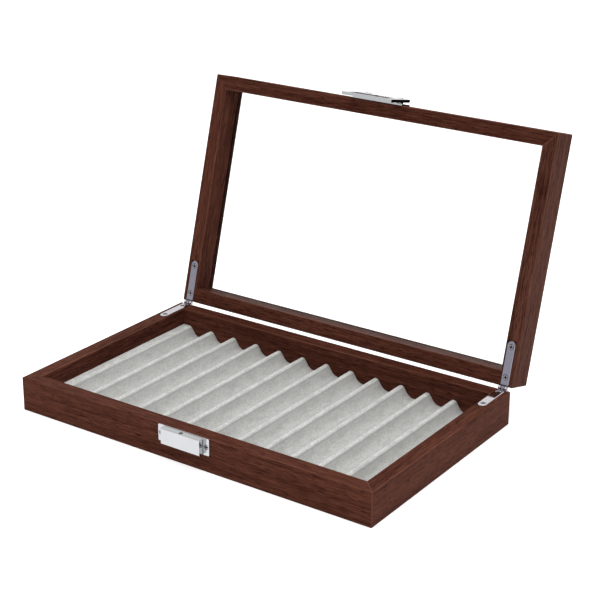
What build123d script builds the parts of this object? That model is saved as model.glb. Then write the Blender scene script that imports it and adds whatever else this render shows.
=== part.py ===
"""Pen collector chest: a shallow mitred wooden box with a grooved velvet tray, a glazed lid
on two stop hinges, and a plated hasp that snaps over a catch on the front wall.

X runs left to right, Y front to back, Z up, in millimetres. The origin is the centre of the
underside. The lid and what it carries are modelled shut, where they are square to the base,
and then turned back about the hinge pins to the stop, which is how the chest stands open.
"""

from build123d import *
from math import asin, atan2, cos, degrees, radians, sin, sqrt
import os

# ---------------------------------------------------------------- driving dimensions
# Case
CASE_LENGTH = 340.0          # left to right, outside
CASE_DEPTH = 208.4           # front to back, outside
BASE_HEIGHT = 29.2
LID_HEIGHT = 26.7
WALL = 12.4                  # thickness of the base walls
RAIL = 12.5                  # width of the lid rails
CLOSED_SEAM = 1.5            # daylight between base and lid when shut
OPEN_ANGLE = 105.5           # degrees from shut to the hinges' stop
CORNER_BEVEL = 0.6           # upright outside corners
EDGE_BEVEL = 0.5             # outside edges
ARRIS_BEVEL = 0.3            # inside edge of the faces that meet

# Floor panel, let into the underside
FLOOR = 3.0
FLOOR_LAP = 5.0              # how far the panel reaches under the walls
PANEL_PLAY = 0.15

# Pane, held in a groove of the lid rails
PANE = 2.0
PANE_DEPTH = 20.5            # from the lid's meeting face to the pane
PANE_GROOVE = 5.0            # depth of the groove
PANE_PLAY = 0.1

# Tray
GROOVE_PITCH = 25.1
GROOVE_DEPTH = 9.4
GROOVE_RADIUS = 8.4
CREST_RADIUS = 3.6
CREST_HEIGHT = 14.8          # top of the velvet above the table
LAND = 1.5                   # least flat beside the outermost crests
VELVET = 0.8
TRAY_PLAY = 0.4

# Hinges
HINGE_INSET = 7.4            # centre of a leaf to the side of the case
PIN_SETBACK = 1.3            # pin centre behind the back of the case
LEAF_WIDTH = 7.2
LEAF_LENGTH = 39.0           # pin centre to the round end
LEAF = 1.1
LEAF_GAP = 0.2               # between the two leaves when shut
LEAF_BEVEL = 0.4
KNUCKLE_RADIUS = 2.2
KNUCKLE_PLAY = 0.2
LID_KNUCKLE = 3.0            # width of the middle knuckle
PIN_RADIUS = 0.9
PIN_HEAD_RADIUS = 1.5
PIN_HEAD = 0.7
PIN_PLAY = 0.05
STOP_RADIUS = 3.2            # reach of the stop lug on the middle knuckle
STOP_WIDTH = 30.0            # degrees of arc that the lug fills
STOP_PLAY = 1.0              # degrees left at the stop
SEAT_PLAY = 0.25             # between the metal and the wood cut away for it
LEAF_SCREWS = (8.8, 34.0)    # from the pin centre along the leaf

# Screws, pins and their bores have flats in place of rounds
SMALL_SIDES = 16

# Wood screws
SCREW_HEAD = 2.2             # head radius, to the flats
SCREW_SHANK = 1.2
SCREW_LENGTH = 9.0
SCREW_TAPER = 4.0            # degrees that the shank narrows by
SCREW_SLOT = 0.6
SCREW_SLOT_DEPTH = 0.7
SCREW_PLAY = 0.05
SCREW_SINK = 0.3             # head of a hinge screw below the face of its leaf

# Catch on the front wall
CATCH_PLATE_LENGTH = 49.5
CATCH_PLATE_HEIGHT = 14.0
CATCH_PLATE = 0.9
CATCH_DROP = 0.5             # top of the plate below the top of the wall
CATCH_EAR = 5.95             # plate showing at each end of the catch
CATCH_HEIGHT = 13.5
CATCH_DEPTH = 5.0
CATCH_BEVEL = 0.5
PLATE_CORNER = 1.0
PLATE_SCREW_INSET = 2.95     # screw centre to the end of a plate

# Sprung ball in the top of the catch
SLEEVE_RADIUS = 1.7
SLEEVE_LENGTH = 7.0
SLEEVE_FLOOR = 0.6
SLEEVE_LIP = 0.2
BALL_RADIUS = 1.25
BALL_RISE = 0.65             # how far the ball stands out
BALL_PLAY = 0.05
SPRING_WIRE = 0.2            # wire radius
SPRING_TURNS = 3
SPRING_PLAY = 0.15

# Hasp on the lid
HASP_PLATE = 1.3
HASP_PLATE_EDGE = 0.2        # plate above the lid's meeting face
HASP_PIN_UP = 11.45          # pin centre above the lid's meeting face
HASP_PIN_OUT = 4.47          # pin centre in front of the lid
HASP_PIN_RADIUS = 0.7
HASP_LUG_WIDTH = 5.0
HASP_LUG_INSET = 8.75        # centre of a lug to the end of the plate
HASP_LUG_RADIUS = 1.7
HASP_LUG_PLAY = 0.2
FLAP = 2.7
FLAP_BAR = 2.3               # strip below the window
FLAP_CORNER = 1.5
FLAP_EDGE = 0.4
FLAP_REST = 0.38             # flap's free end above the catch plate when shut
WINDOW_SIDE_PLAY = 0.5
WINDOW_TOP_PLAY = 0.25
WINDOW_FOOT_PLAY = 0.65
BALL_NOTCH = 1.6             # radius of the notch that the ball clicks into
BALL_LIP = 0.5               # metal left behind that notch
HEEL_LENGTH = 2.5
HEEL_WIDTH = 5.0
HEEL_AT = 7.0                # heel below the pin
HEEL_SPACING = 20.0
HEEL_PLAY = 0.15

# ---------------------------------------------------------------- derived places
HALF_LENGTH = CASE_LENGTH / 2
HALF_DEPTH = CASE_DEPTH / 2
LID_FOOT = BASE_HEIGHT + CLOSED_SEAM
PIN_Y = HALF_DEPTH + PIN_SETBACK
PIN_Z = BASE_HEIGHT + CLOSED_SEAM / 2
HINGE_AXIS = Axis((0, PIN_Y, PIN_Z), (1, 0, 0))
HINGE_XS = (-(HALF_LENGTH - HINGE_INSET), HALF_LENGTH - HINGE_INSET)
LEAF_TOP = PIN_Z - LEAF_GAP / 2
BASE_KNUCKLE = (LEAF_WIDTH - LID_KNUCKLE) / 2 - KNUCKLE_PLAY

CATCH_PLATE_Z = BASE_HEIGHT - CATCH_DROP - CATCH_PLATE_HEIGHT / 2
CATCH_TOP = CATCH_PLATE_Z + CATCH_HEIGHT / 2
CATCH_FOOT = CATCH_PLATE_Z - CATCH_HEIGHT / 2
CATCH_LENGTH = CATCH_PLATE_LENGTH - 2 * CATCH_EAR
PLATE_SCREW_X = CATCH_PLATE_LENGTH / 2 - PLATE_SCREW_INSET
LUG_X = CATCH_PLATE_LENGTH / 2 - HASP_LUG_INSET
HASP_PLATE_Z = LID_FOOT + HASP_PLATE_EDGE + CATCH_PLATE_HEIGHT / 2
HASP_PIN_Y = -HALF_DEPTH - HASP_PIN_OUT
HASP_PIN_Z = LID_FOOT + HASP_PIN_UP
HASP_PIN = (0, HASP_PIN_Y, HASP_PIN_Z)

# The flap hangs from its pin, leaning in until its free end lies just off the catch plate.
FLAP_DROP = HASP_PIN_Z - (CATCH_FOOT - WINDOW_FOOT_PLAY - FLAP_BAR)
FLAP_LEAN = atan2(HASP_PIN_OUT - FLAP / 2 - CATCH_PLATE - FLAP_REST, FLAP_DROP)
FLAP_LENGTH = FLAP_DROP / cos(FLAP_LEAN)
WINDOW_TOP = (HASP_PIN_Z - CATCH_TOP - WINDOW_TOP_PLAY) / cos(FLAP_LEAN)
WINDOW_FOOT = FLAP_LENGTH - FLAP_BAR
FLAP_PLANE = Plane(
    origin=(0, HASP_PIN_Y, HASP_PIN_Z),
    x_dir=(1, 0, 0),
    z_dir=(0, -cos(FLAP_LEAN), -sin(FLAP_LEAN)),
)

# The ball stands in front of the lip that the flap keeps behind its notch.
BALL_Z = CATCH_TOP + BALL_RISE - BALL_RADIUS
FLAP_BACK_AT_WINDOW = HASP_PIN_OUT - FLAP / 2 - WINDOW_TOP * sin(FLAP_LEAN)
BALL_REACH = sqrt(BALL_RADIUS**2 - (CATCH_TOP + WINDOW_TOP_PLAY - BALL_Z) ** 2)
BALL_Y = -HALF_DEPTH - (FLAP_BACK_AT_WINDOW + BALL_LIP + BALL_REACH + BALL_PLAY)


def front_plane(height, proud=0.0):
    """A plane on the front of the case, facing forwards, with its Y up"""
    return Plane(origin=(0, -HALF_DEPTH - proud, height), x_dir=(1, 0, 0), z_dir=(0, -1, 0))


def write(part, name):
    """Name a finished piece and write it"""
    part.label = name
    export_step(part, f"parts/{name}.step")


def write_open(part, name):
    """Turn a piece of the shut lid back to the stop, then name and write it"""
    write(part.rotate(HINGE_AXIS, -OPEN_ANGLE), name)


os.makedirs("parts", exist_ok=True)

# ---------------------------------------------------------------- wood screws

UP = (0, 0, 1)
DOWN = (0, 0, -1)
FORWARDS = (0, -1, 0)


def countersunk_screw(play=0.0, length=SCREW_LENGTH):
    """A screw with its head's face at the origin and its point down; with play, its hole"""
    mouth = SCREW_SINK if play else 0.0
    cone = SCREW_HEAD - SCREW_SHANK
    with BuildPart() as screw:
        with BuildSketch(Plane(origin=(0, 0, mouth), z_dir=DOWN)):
            RegularPolygon(SCREW_HEAD + play + mouth, SMALL_SIDES, major_radius=False)
        extrude(amount=cone + mouth, taper=45)
        with BuildSketch(Plane(origin=(0, 0, -cone), z_dir=DOWN)):
            RegularPolygon(SCREW_SHANK + play, SMALL_SIDES, major_radius=False)
        extrude(amount=length - cone + play, taper=SCREW_TAPER)
        if not play:
            with BuildSketch():
                Rectangle(1.3 * SCREW_HEAD, SCREW_SLOT)
                Rectangle(SCREW_SLOT, 1.3 * SCREW_HEAD)
            extrude(amount=-SCREW_SLOT_DEPTH, mode=Mode.SUBTRACT)
    return screw.part


SCREW = countersunk_screw()
SCREW_HOLE = countersunk_screw(SCREW_PLAY)

def places(points, facing):
    """Locations at points, with Z along a direction"""
    return [Plane(origin=point, z_dir=facing).location for point in points]


BASE_LEAF_SCREWS = places(
    [(x, PIN_Y - run, LEAF_TOP - SCREW_SINK) for x in HINGE_XS for run in LEAF_SCREWS], UP
)
LID_LEAF_SCREWS = places(
    [(x, PIN_Y - run, LEAF_TOP + LEAF_GAP + SCREW_SINK) for x in HINGE_XS for run in LEAF_SCREWS], DOWN
)
CATCH_SCREWS = places(
    [(x, -HALF_DEPTH - CATCH_PLATE, CATCH_PLATE_Z) for x in (-PLATE_SCREW_X, PLATE_SCREW_X)], FORWARDS
)
HASP_SCREWS = places(
    [(x, -HALF_DEPTH - HASP_PLATE, HASP_PLATE_Z) for x in (-PLATE_SCREW_X, PLATE_SCREW_X)], FORWARDS
)


def screw_set(where):
    """One screw at each place"""
    with BuildPart() as screws:
        with Locations(*where):
            add(SCREW)
    return screws.part


def cut_screw_holes(where):
    """Cut the holes for a set of screws from the part being built"""
    with Locations(*where):
        add(SCREW_HOLE, mode=Mode.SUBTRACT)


# ---------------------------------------------------------------- hinges


def strap(width, length):
    """Outline of a leaf: a strip from the pin along -Y that ends in a half circle"""
    straight = length - width / 2
    with BuildSketch() as outline:
        Rectangle(width, straight, align=(Align.CENTER, Align.MAX))
        with Locations((0, -straight)):
            Circle(width / 2)
    return outline.sketch


def barrel(x, radius, width):
    """A cylinder on the hinge axis, centred at x"""
    with BuildPart() as roll:
        with BuildSketch(Plane.YZ.offset(x - width / 2)):
            with Locations((PIN_Y, PIN_Z)):
                Circle(radius)
        extrude(amount=width)
    return roll.part


def small_bar(centre, radius, width, bore=False):
    """A bar of many flats along X, centred at a point. Its corners lie on the radius, so that
    it turns freely in a bore, whose flats touch the radius of the bore."""
    with BuildPart() as bar:
        with BuildSketch(Plane.YZ.offset(centre[0] - width / 2)):
            with Locations(centre[1:]):
                RegularPolygon(radius, SMALL_SIDES, major_radius=not bore)
        extrude(amount=width)
    return bar.part


def leaf_seat(x, lug_swing):
    """What is cut from the wood of the base for one hinge: a shallow mortise, room for the
    knuckles, and where the lug swings, room for that too"""
    with BuildPart() as seat:
        with BuildSketch(Plane((x, PIN_Y, LEAF_TOP - LEAF))):
            add(strap(LEAF_WIDTH + SEAT_PLAY, LEAF_LENGTH + SEAT_PLAY / 2))
        extrude(amount=LEAF)
        add(barrel(x, KNUCKLE_RADIUS + SEAT_PLAY, LEAF_WIDTH + 2 * PIN_HEAD + 4 * SEAT_PLAY))
        if lug_swing:
            add(barrel(x, STOP_RADIUS + SEAT_PLAY, LID_KNUCKLE + 2 * KNUCKLE_PLAY))
    return seat.part


def hinge_leaf(x, knuckles, screw_places):
    """A base leaf: a bevelled strap, rolled round the pin at its own knuckles and cut clear of
    the other leaf's. Each knuckle is its start, measured from the leaf's centre, and width."""
    with BuildPart() as leaf:
        with BuildSketch(Plane((x, PIN_Y, LEAF_TOP - LEAF))):
            add(strap(LEAF_WIDTH, LEAF_LENGTH))
        extrude(amount=LEAF)
        chamfer(leaf.faces().sort_by(Axis.Z)[-1].edges(), LEAF_BEVEL)
        add(barrel(x, KNUCKLE_RADIUS + KNUCKLE_PLAY, LEAF_WIDTH), mode=Mode.SUBTRACT)
        tongue = KNUCKLE_RADIUS + 2 * KNUCKLE_PLAY
        for start, width in knuckles:
            with BuildSketch(Plane.YZ.offset(x + start)):
                with Locations((PIN_Y, PIN_Z)):
                    Circle(KNUCKLE_RADIUS)
                with Locations((PIN_Y - tongue, LEAF_TOP - LEAF)):
                    Rectangle(tongue, LEAF - LEAF_BEVEL, align=(Align.MIN, Align.MIN))
            extrude(amount=width)
        add(small_bar((x, PIN_Y, PIN_Z), PIN_RADIUS + PIN_PLAY, 2 * LEAF_WIDTH, bore=True), mode=Mode.SUBTRACT)
        cut_screw_holes(screw_places)
    return leaf.part


def lid_leaf(x):
    """A lid leaf: the base leaf's mirror image with the middle knuckle and its stop lug"""
    start = -LID_KNUCKLE / 2
    turned = mirror(hinge_leaf(x, [(start, LID_KNUCKLE)], BASE_LEAF_SCREWS), about=Plane.XY.offset(PIN_Z))
    # At the stop the lug's face bears on the end of the base leaf, just below -Y.
    bearing = degrees(asin((LEAF + LEAF_GAP / 2) / (KNUCKLE_RADIUS + KNUCKLE_PLAY)))
    lug_start = 180 + bearing + STOP_PLAY + OPEN_ANGLE
    with BuildPart() as leaf:
        add(turned)
        with BuildSketch(Plane.YZ.offset(x + start)):
            with Locations((PIN_Y, PIN_Z)):
                with BuildLine():
                    outer = CenterArc((PIN_Y, PIN_Z), STOP_RADIUS, lug_start, STOP_WIDTH)
                    inner = CenterArc((PIN_Y, PIN_Z), (KNUCKLE_RADIUS + PIN_RADIUS) / 2, lug_start, STOP_WIDTH)
                    Line(outer @ 0, inner @ 0)
                    Line(outer @ 1, inner @ 1)
            make_face()
        extrude(amount=LID_KNUCKLE)
    return leaf.part


def hinge_pin(x):
    """A pin with a low head at each end, through all three knuckles"""
    run = LEAF_WIDTH + 2 * PIN_PLAY
    with BuildPart() as pin:
        add(small_bar((x, PIN_Y, PIN_Z), PIN_RADIUS, run + PIN_HEAD))
        for side in (-1, 1):
            add(small_bar((x + side * (run + PIN_HEAD) / 2, PIN_Y, PIN_Z), PIN_HEAD_RADIUS, PIN_HEAD))
    return pin.part


for side, x in zip(("left", "right"), HINGE_XS):
    base_knuckles = [(-LEAF_WIDTH / 2, BASE_KNUCKLE), (LEAF_WIDTH / 2 - BASE_KNUCKLE, BASE_KNUCKLE)]
    write(hinge_leaf(x, base_knuckles, BASE_LEAF_SCREWS), f"hinge_base_leaf_{side}")
    write_open(lid_leaf(x), f"hinge_lid_leaf_{side}")
    write(hinge_pin(x), f"hinge_pin_{side}")

write(screw_set(BASE_LEAF_SCREWS), "hinge_base_screws")
write_open(screw_set(LID_LEAF_SCREWS), "hinge_lid_screws")

# ---------------------------------------------------------------- base walls and lid rails

MITRED_SIDES = {
    "front": [(-HALF_LENGTH, -HALF_DEPTH), (HALF_LENGTH, -HALF_DEPTH),
              (HALF_LENGTH - HALF_DEPTH, 0), (HALF_DEPTH - HALF_LENGTH, 0)],
    "back": [(-HALF_LENGTH, HALF_DEPTH), (HALF_LENGTH, HALF_DEPTH),
             (HALF_LENGTH - HALF_DEPTH, 0), (HALF_DEPTH - HALF_LENGTH, 0)],
    "left": [(-HALF_LENGTH, -HALF_DEPTH), (-HALF_LENGTH, HALF_DEPTH), (HALF_DEPTH - HALF_LENGTH, 0)],
    "right": [(HALF_LENGTH, -HALF_DEPTH), (HALF_LENGTH, HALF_DEPTH), (HALF_LENGTH - HALF_DEPTH, 0)],
}


def frame_ring(foot, height, wall, meeting_face):
    """A rectangular frame with eased edges, before it is cut at its mitres"""
    with BuildPart() as ring:
        with BuildSketch(Plane.XY.offset(foot)):
            Rectangle(CASE_LENGTH, CASE_DEPTH)
        extrude(amount=height)
        chamfer(ring.edges().filter_by(Axis.Z), CORNER_BEVEL)
        chamfer(ring.faces().filter_by(Axis.Z).edges(), EDGE_BEVEL)
        with BuildSketch(Plane.XY.offset(foot)):
            Rectangle(CASE_LENGTH - 2 * wall, CASE_DEPTH - 2 * wall)
        extrude(amount=height, mode=Mode.SUBTRACT)
        meeting = ring.faces().filter_by(Axis.Z).sort_by(Axis.Z)[meeting_face]
        chamfer(meeting.inner_wires().edges(), ARRIS_BEVEL)
    return ring.part


def mitred_piece(ring, side, cutters):
    """The part of a ring between its mitres on one side, less what is let into it"""
    with BuildPart() as piece:
        add(ring)
        with BuildSketch():
            with BuildLine():
                Polyline(*MITRED_SIDES[side], close=True)
            make_face()
        extrude(amount=LID_FOOT + LID_HEIGHT, mode=Mode.INTERSECT)
        for cutter in cutters:
            add(cutter, mode=Mode.SUBTRACT)
    return piece.part


with BuildPart() as base_ring:
    add(frame_ring(0, BASE_HEIGHT, WALL, -1))
    with BuildSketch():
        Rectangle(CASE_LENGTH - 2 * (WALL - FLOOR_LAP), CASE_DEPTH - 2 * (WALL - FLOOR_LAP))
    extrude(amount=FLOOR, mode=Mode.SUBTRACT)

with BuildPart() as lid_ring:
    add(frame_ring(LID_FOOT, LID_HEIGHT, RAIL, 0))
    with BuildSketch(Plane.XY.offset(LID_FOOT + PANE_DEPTH - PANE_PLAY)):
        Rectangle(CASE_LENGTH - 2 * (RAIL - PANE_GROOVE), CASE_DEPTH - 2 * (RAIL - PANE_GROOVE))
    extrude(amount=PANE + 2 * PANE_PLAY, mode=Mode.SUBTRACT)

with BuildPart() as base_cuts:
    for x in HINGE_XS:
        add(leaf_seat(x, lug_swing=True))
    with Locations(*BASE_LEAF_SCREWS, *CATCH_SCREWS):
        add(SCREW_HOLE)

with BuildPart() as lid_cuts:
    for x in HINGE_XS:
        add(mirror(leaf_seat(x, lug_swing=True), about=Plane.XY.offset(PIN_Z)))
    with Locations(*LID_LEAF_SCREWS, *HASP_SCREWS):
        add(SCREW_HOLE)

for side in MITRED_SIDES:
    write(mitred_piece(base_ring.part, side, [base_cuts.part]), f"base_{side}_wall")
    write_open(mitred_piece(lid_ring.part, side, [lid_cuts.part]), f"lid_{side}_rail")

with BuildPart() as base_floor:
    with BuildSketch():
        Rectangle(
            CASE_LENGTH - 2 * (WALL - FLOOR_LAP + PANEL_PLAY),
            CASE_DEPTH - 2 * (WALL - FLOOR_LAP + PANEL_PLAY),
        )
    extrude(amount=FLOOR)
write(base_floor.part, "base_floor_panel")

with BuildPart() as lid_pane:
    with BuildSketch(Plane.XY.offset(LID_FOOT + PANE_DEPTH)):
        Rectangle(
            CASE_LENGTH - 2 * (RAIL - PANE_GROOVE + PANEL_PLAY),
            CASE_DEPTH - 2 * (RAIL - PANE_GROOVE + PANEL_PLAY),
        )
    extrude(amount=PANE)
write_open(lid_pane.part, "lid_pane")

# ---------------------------------------------------------------- grooved tray

TRAY_LENGTH = CASE_LENGTH - 2 * (WALL + TRAY_PLAY)
TRAY_DEPTH = CASE_DEPTH - 2 * (WALL + TRAY_PLAY)
GROOVES = int((TRAY_LENGTH - 2 * LAND) / GROOVE_PITCH)

# The section is a zigzag whose corners are rounded into crests and grooves. Its slope is the
# one at which the rounded zigzag is as deep as the grooves.
HALF_PITCH = GROOVE_PITCH / 2
ROUNDS = GROOVE_RADIUS + CREST_RADIUS
SLOPE = asin(ROUNDS / sqrt(HALF_PITCH**2 + (ROUNDS - GROOVE_DEPTH) ** 2)) - atan2(
    ROUNDS - GROOVE_DEPTH, HALF_PITCH
)


def tray_surface(sunk):
    """Points and corner radii of the tray's top, or of the surface sunk below it"""
    crest = CREST_RADIUS - sunk
    groove = GROOVE_RADIUS + sunk
    land = CREST_HEIGHT - sunk
    peak = land + crest * (1 / cos(SLOPE) - 1)
    valley = CREST_HEIGHT - GROOVE_DEPTH - sunk - groove * (1 / cos(SLOPE) - 1)
    first_peak = -GROOVES * HALF_PITCH
    land_end = (peak - land) * cos(SLOPE) / sin(SLOPE)
    points = [(-TRAY_LENGTH / 2, land), (first_peak + land_end, land)]
    radii = [crest]
    for number in range(2 * GROOVES - 1):
        bottom = number % 2 == 0
        points.append((first_peak + (number + 1) * HALF_PITCH, valley if bottom else peak))
        radii.append(groove if bottom else crest)
    points += [(-first_peak - land_end, land), (TRAY_LENGTH / 2, land)]
    radii.append(crest)
    return points, radii


def tray_layer(sunk, bottom_edge):
    """A layer of the tray from the surface sunk that far down to a lower edge"""
    points, radii = tray_surface(sunk)
    with BuildPart() as layer:
        with BuildSketch(Plane.XZ):
            with BuildLine():
                FilletPolyline(*points, radius=radii)
                bottom_edge()
                for end in (-TRAY_LENGTH / 2, TRAY_LENGTH / 2):
                    low = FLOOR if sunk else CREST_HEIGHT - VELVET
                    Line((end, points[0][1]), (end, low))
            make_face()
        extrude(amount=TRAY_DEPTH / 2, both=True)
    return layer.part


def velvet_back():
    """The velvet's back, which is the face of the core"""
    points, radii = tray_surface(VELVET)
    FilletPolyline(*points, radius=radii)


def core_back():
    """The core's flat underside, on the floor panel"""
    Line((-TRAY_LENGTH / 2, FLOOR), (TRAY_LENGTH / 2, FLOOR))


write(tray_layer(VELVET, core_back), "tray_core")
write(tray_layer(0, velvet_back), "tray_velvet")

# ---------------------------------------------------------------- catch on the front wall

with BuildPart() as catch_plate:
    with BuildSketch(front_plane(CATCH_PLATE_Z)):
        RectangleRounded(CATCH_PLATE_LENGTH, CATCH_PLATE_HEIGHT, PLATE_CORNER)
    extrude(amount=CATCH_PLATE)
    cut_screw_holes(CATCH_SCREWS)
write(catch_plate.part, "catch_plate")

with BuildPart() as catch_body:
    with BuildSketch(front_plane(CATCH_PLATE_Z, CATCH_PLATE)):
        Rectangle(CATCH_LENGTH, CATCH_HEIGHT)
    extrude(amount=CATCH_DEPTH)
    chamfer(catch_body.faces().sort_by(Axis.Y)[0].edges(), CATCH_BEVEL)
    with BuildSketch(Plane((0, BALL_Y, CATCH_TOP))):
        Circle(SLEEVE_RADIUS + BALL_PLAY)
    extrude(amount=-SLEEVE_LENGTH, mode=Mode.SUBTRACT)
write(catch_body.part, "catch_body")

with BuildPart() as catch_sleeve:
    with BuildSketch(Plane((0, BALL_Y, CATCH_TOP))):
        Circle(SLEEVE_RADIUS)
    extrude(amount=-SLEEVE_LENGTH)
    with BuildSketch(Plane((0, BALL_Y, CATCH_TOP - SLEEVE_LIP))):
        Circle(BALL_RADIUS + BALL_PLAY)
    extrude(amount=-(SLEEVE_LENGTH - SLEEVE_LIP - SLEEVE_FLOOR), mode=Mode.SUBTRACT)
    with BuildSketch(Plane((0, BALL_Y, CATCH_TOP))):
        Circle(sqrt(BALL_RADIUS**2 - (CATCH_TOP - SLEEVE_LIP - BALL_Z) ** 2) + BALL_PLAY)
    extrude(amount=-SLEEVE_LIP, mode=Mode.SUBTRACT)
write(catch_sleeve.part, "catch_sleeve")

with BuildPart() as catch_ball:
    with Locations((0, BALL_Y, BALL_Z)):
        Sphere(BALL_RADIUS)
write(catch_ball.part, "catch_ball")

SPRING_FOOT = CATCH_TOP - SLEEVE_LENGTH + SLEEVE_FLOOR + SPRING_WIRE + SPRING_PLAY
SPRING_HEAD = BALL_Z - BALL_RADIUS - SPRING_WIRE - SPRING_PLAY
SPRING_COIL = BALL_RADIUS - SPRING_WIRE - SPRING_PLAY
with BuildPart() as catch_spring:
    with BuildLine(Plane((0, BALL_Y, SPRING_FOOT))):
        coil = Helix((SPRING_HEAD - SPRING_FOOT) / SPRING_TURNS, SPRING_HEAD - SPRING_FOOT, SPRING_COIL)
    with BuildSketch(Plane(origin=coil @ 0, z_dir=coil % 0)):
        RegularPolygon(SPRING_WIRE, 4)
    sweep(path=coil, is_frenet=True)
write(catch_spring.part, "catch_spring")

write(screw_set(CATCH_SCREWS), "catch_screws")

# ---------------------------------------------------------------- hasp on the lid

LUG_XS = (-LUG_X, LUG_X)

with BuildPart() as hasp_plate:
    with BuildSketch(front_plane(HASP_PLATE_Z)):
        RectangleRounded(CATCH_PLATE_LENGTH, CATCH_PLATE_HEIGHT, PLATE_CORNER)
    extrude(amount=HASP_PLATE)
    for x in LUG_XS:
        with BuildSketch(Plane.YZ.offset(x - HASP_LUG_WIDTH / 2)):
            with Locations((HASP_PIN_Y, HASP_PIN_Z)):
                Circle(HASP_LUG_RADIUS)
                Rectangle(HASP_PIN_OUT, 2 * HASP_LUG_RADIUS, align=(Align.MIN, Align.CENTER))
        extrude(amount=HASP_LUG_WIDTH)
    add(small_bar(HASP_PIN, HASP_PIN_RADIUS + PIN_PLAY, CATCH_PLATE_LENGTH, bore=True), mode=Mode.SUBTRACT)
    cut_screw_holes(HASP_SCREWS)
write_open(hasp_plate.part, "hasp_plate")

HEEL_RISE = (
    HASP_PIN_OUT - FLAP / 2 - (HEEL_AT + HEEL_LENGTH / 2) * sin(FLAP_LEAN) - HASP_PLATE - HEEL_PLAY
)

with BuildPart() as hasp_flap:
    with BuildSketch(FLAP_PLANE):
        Rectangle(CATCH_PLATE_LENGTH, FLAP_LENGTH, align=(Align.CENTER, Align.MAX))
    extrude(amount=FLAP / 2, both=True)
    fillet(
        hasp_flap.edges().filter_by(Axis(FLAP_PLANE.origin, FLAP_PLANE.z_dir)).group_by(Axis.Z)[0],
        FLAP_CORNER,
    )
    chamfer(hasp_flap.faces().sort_by(Axis(FLAP_PLANE.origin, FLAP_PLANE.z_dir))[-1].edges(), FLAP_EDGE)
    with BuildSketch(Plane.YZ.offset(-CATCH_PLATE_LENGTH / 2)):
        with Locations(HASP_PIN[1:]):
            Circle(FLAP / 2)
    extrude(amount=CATCH_PLATE_LENGTH)
    with BuildSketch(FLAP_PLANE):
        with Locations((0, -(WINDOW_TOP + WINDOW_FOOT) / 2)):
            Rectangle(CATCH_LENGTH + 2 * WINDOW_SIDE_PLAY, WINDOW_FOOT - WINDOW_TOP)
    extrude(amount=FLAP, both=True, mode=Mode.SUBTRACT)
    with BuildSketch(FLAP_PLANE.offset(BALL_LIP - FLAP / 2)):
        with Locations((0, -WINDOW_TOP)):
            Circle(BALL_NOTCH)
    extrude(amount=FLAP, mode=Mode.SUBTRACT)
    with BuildSketch(FLAP_PLANE.offset(-FLAP / 2)):
        with Locations(*[(side * HEEL_SPACING / 2, -HEEL_AT) for side in (-1, 1)]):
            Rectangle(HEEL_WIDTH, HEEL_LENGTH)
    extrude(amount=-HEEL_RISE)
    with BuildSketch(FLAP_PLANE):
        with Locations(*[(x, FLAP) for x in LUG_XS]):
            Rectangle(
                HASP_LUG_WIDTH + 2 * HASP_LUG_PLAY,
                FLAP + HASP_LUG_RADIUS + 2 * HASP_LUG_PLAY,
                align=(Align.CENTER, Align.MAX),
            )
    extrude(amount=FLAP, both=True, mode=Mode.SUBTRACT)
    add(small_bar(HASP_PIN, HASP_PIN_RADIUS + PIN_PLAY, 2 * CATCH_PLATE_LENGTH, bore=True), mode=Mode.SUBTRACT)
write_open(hasp_flap.part, "hasp_flap")

write_open(small_bar(HASP_PIN, HASP_PIN_RADIUS, CATCH_PLATE_LENGTH - 2 * PIN_PLAY), "hasp_pin")
write_open(screw_set(HASP_SCREWS), "hasp_screws")
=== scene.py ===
"""A pen collector chest in dark walnut, open: a velvet tray, a glazed lid and plated fittings.

All sizes are in metres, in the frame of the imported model: X right, Y back, Z up.
"""

import logging
import math
from dataclasses import dataclass, replace
from enum import Enum

import bpy
from mathutils import Euler, Matrix, Vector

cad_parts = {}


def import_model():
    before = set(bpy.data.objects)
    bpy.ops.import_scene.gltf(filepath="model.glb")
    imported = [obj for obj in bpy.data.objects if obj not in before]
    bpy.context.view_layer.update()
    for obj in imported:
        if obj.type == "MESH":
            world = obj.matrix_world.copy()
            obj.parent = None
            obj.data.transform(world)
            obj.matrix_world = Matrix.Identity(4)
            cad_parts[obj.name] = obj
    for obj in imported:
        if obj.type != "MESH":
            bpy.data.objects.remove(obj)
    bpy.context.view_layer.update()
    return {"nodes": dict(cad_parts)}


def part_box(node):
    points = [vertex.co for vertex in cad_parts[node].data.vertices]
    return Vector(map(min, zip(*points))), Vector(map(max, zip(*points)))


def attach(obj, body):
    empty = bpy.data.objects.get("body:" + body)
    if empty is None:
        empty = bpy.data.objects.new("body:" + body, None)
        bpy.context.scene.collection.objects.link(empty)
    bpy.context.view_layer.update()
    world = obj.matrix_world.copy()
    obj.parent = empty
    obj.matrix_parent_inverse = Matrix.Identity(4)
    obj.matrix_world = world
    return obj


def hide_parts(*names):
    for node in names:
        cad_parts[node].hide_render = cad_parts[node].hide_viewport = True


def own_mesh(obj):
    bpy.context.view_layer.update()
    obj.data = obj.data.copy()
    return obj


log = logging.getLogger("pen_chest")

Colour = tuple[float, float, float, float]
Triple = tuple[float, float, float]
# Where a range of values starts and ends, and what its start and end map to.
Span = tuple[float, float, float, float]


# ------------------------------------------------------------------ node helpers


@dataclass(frozen=True)
class Layer:
    """One layer of noise: its frequency per metre along each axis, and how fine it is."""

    scale: Triple
    detail: float = 3.0
    rough: float = 0.5
    warp: float = 0.0


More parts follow.
